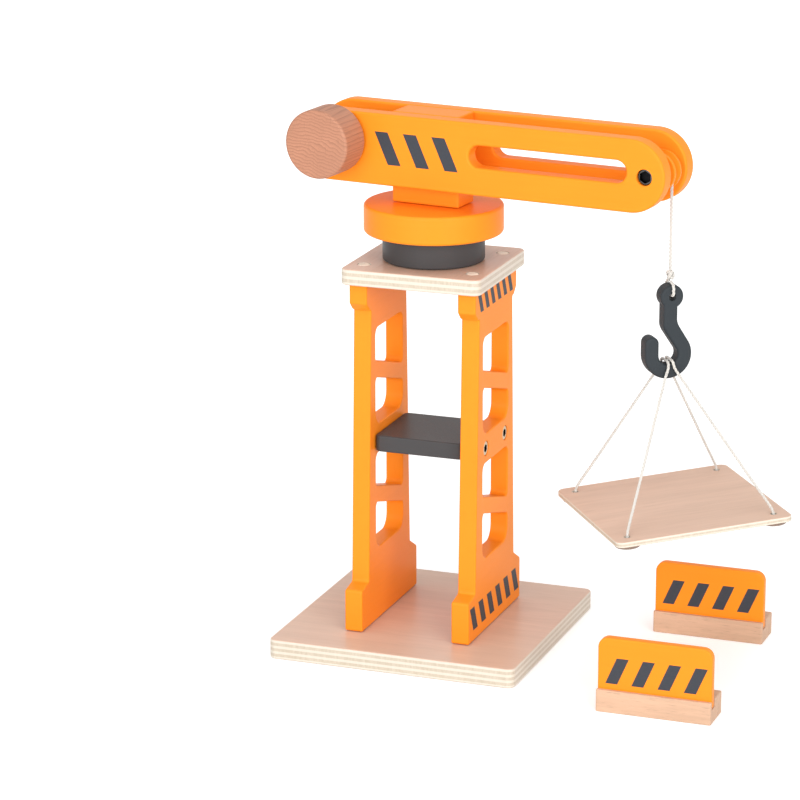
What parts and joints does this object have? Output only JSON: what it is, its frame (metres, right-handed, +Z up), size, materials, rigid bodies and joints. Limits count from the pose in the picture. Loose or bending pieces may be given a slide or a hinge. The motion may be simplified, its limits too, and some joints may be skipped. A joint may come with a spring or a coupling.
{
  "type": "toy tower crane",
  "caption": "Wooden toy tower crane: a braced tower on a square base, a swivelling boom with a hand-turned winch, a hook with a hanging load tray, and road barriers.",
  "frame": {"origin": "centre of the base board's underside, on the swivel's axis", "axes": "+Z up along the swivel, +X along the base's front edge towards the hook, +Y to the back"},
  "size_m": [0.2611, 0.1443, 0.2753],
  "materials": {
    "orange_paint": "satin orange lacquer on wood",
    "grey_paint": "satin dark grey lacquer on wood",
    "birch_plywood": "matt clear-coated birch plywood",
    "beech": "fine-sanded beech",
    "zinc_steel": "zinc-plated",
    "white_cord": "twisted white cord",
    "grey_felt": "pressed felt",
    "brown_pad": "dark felt pad"
  },
  "bodies": {
    "tower": {"base_plate": "birch_plywood", "left_side_frame": "orange_paint", "right_side_frame": "orange_paint", "shelf": "grey_paint", "top_plate": "birch_plywood", "bearing_disc": "grey_paint", "pivot_bolt": "zinc_steel", "pivot_washer": "zinc_steel", "pivot_locknut": "zinc_steel", "base_screw_left_front": "zinc_steel", "base_screw_left_rear": "zinc_steel", "base_screw_right_front": "zinc_steel", "base_screw_right_rear": "zinc_steel", "shelf_bolt_left_front": "zinc_steel", "shelf_bolt_left_rear": "zinc_steel", "shelf_bolt_right_front": "zinc_steel", "shelf_bolt_right_rear": "zinc_steel", "plate_dowel_left_front": "beech", "plate_dowel_left_rear": "beech", "plate_dowel_right_front": "beech", "plate_dowel_right_rear": "beech"},
    "boom": {"turntable": "orange_paint", "neck_block": "orange_paint", "near_boom_plate": "orange_paint", "far_boom_plate": "orange_paint", "neck_screw_rear": "zinc_steel", "neck_screw_front": "zinc_steel", "boom_dowel_rear": "beech", "boom_dowel_front": "beech", "tip_bolt_sleeve": "zinc_steel", "tip_bolt_screw": "zinc_steel", "cord_run": "white_cord"},
    "winch": {"winch_knob": "beech", "felt_washer": "grey_felt", "winch_axle": "zinc_steel", "axle_cap": "beech", "wound_cord": "white_cord"},
    "pulley": {"tip_pulley": "orange_paint"},
    "hoist_line": {"hoist_cord": "white_cord", "cord_knot": "white_cord"},
    "hook": {"hook": "grey_paint", "hook_loop": "white_cord"},
    "tray": {"tray_board": "birch_plywood", "sling_cord_left": "white_cord", "sling_cord_right": "white_cord", "tray_pad_front_left": "brown_pad", "tray_pad_front_right": "brown_pad", "tray_pad_rear_right": "brown_pad", "tray_pad_rear_left": "brown_pad", "sling_knot_front_left": "white_cord", "sling_knot_front_right": "white_cord", "sling_knot_rear_right": "white_cord", "sling_knot_rear_left": "white_cord"},
    "rear_barrier": {"rear_barrier_block": "beech", "rear_barrier_panel": "orange_paint"},
    "front_barrier": {"front_barrier_block": "beech", "front_barrier_panel": "orange_paint"}
  },
  "joints": [
    {"name": "boom_swivel", "type": "hinge", "parent": "tower", "child": "boom", "pos_m": [0, 0, 0.21165], "axis": [0, 0, 1], "continuous": true},
    {"name": "knob_turn", "type": "hinge", "parent": "boom", "child": "winch", "pos_m": [-0.04486, 0.00551, 0.2581], "axis": [-0.1219, -0.9925, 0], "range_deg": [-429, 486]},
    {"name": "pulley_turn", "type": "hinge", "parent": "boom", "child": "pulley", "pos_m": [0.1201, -0.01475, 0.2541], "axis": [-0.1219, -0.9925, 0], "range_deg": [-260, 290]},
    {"name": "hook_lift", "type": "slide", "parent": "boom", "child": "hoist_line", "axis": [0, 0, 1], "range_m": [-0.0301, 0.0341], "deforming": ["hoist_cord"]},
    {"name": "cord_twist", "type": "hinge", "parent": "hoist_line", "child": "hook", "pos_m": [0.12685, -0.01558, 0.1933], "axis": [0, 0, 1], "range_deg": [-180, 180]},
    {"name": "tray_swing", "type": "hinge", "parent": "hook", "child": "tray", "pos_m": [0.12637, -0.01594, 0.1596], "axis": [0.7986, 0.6018, 0], "range_deg": [-10, 10]},
    {"name": "rear_barrier_lift", "type": "slide", "parent": "tower", "child": "rear_barrier", "axis": [0, 0, 1], "range_m": [0, 0.035]},
    {"name": "front_barrier_lift", "type": "slide", "parent": "tower", "child": "front_barrier", "axis": [0, 0, 1], "range_m": [0, 0.035]}
  ],
  "couplings": [
    {"joint": "hook_lift", "follows": "knob_turn", "m_per_rad": 0.004},
    {"joint": "pulley_turn", "follows": "knob_turn", "ratio": 0.58823}
  ]
}
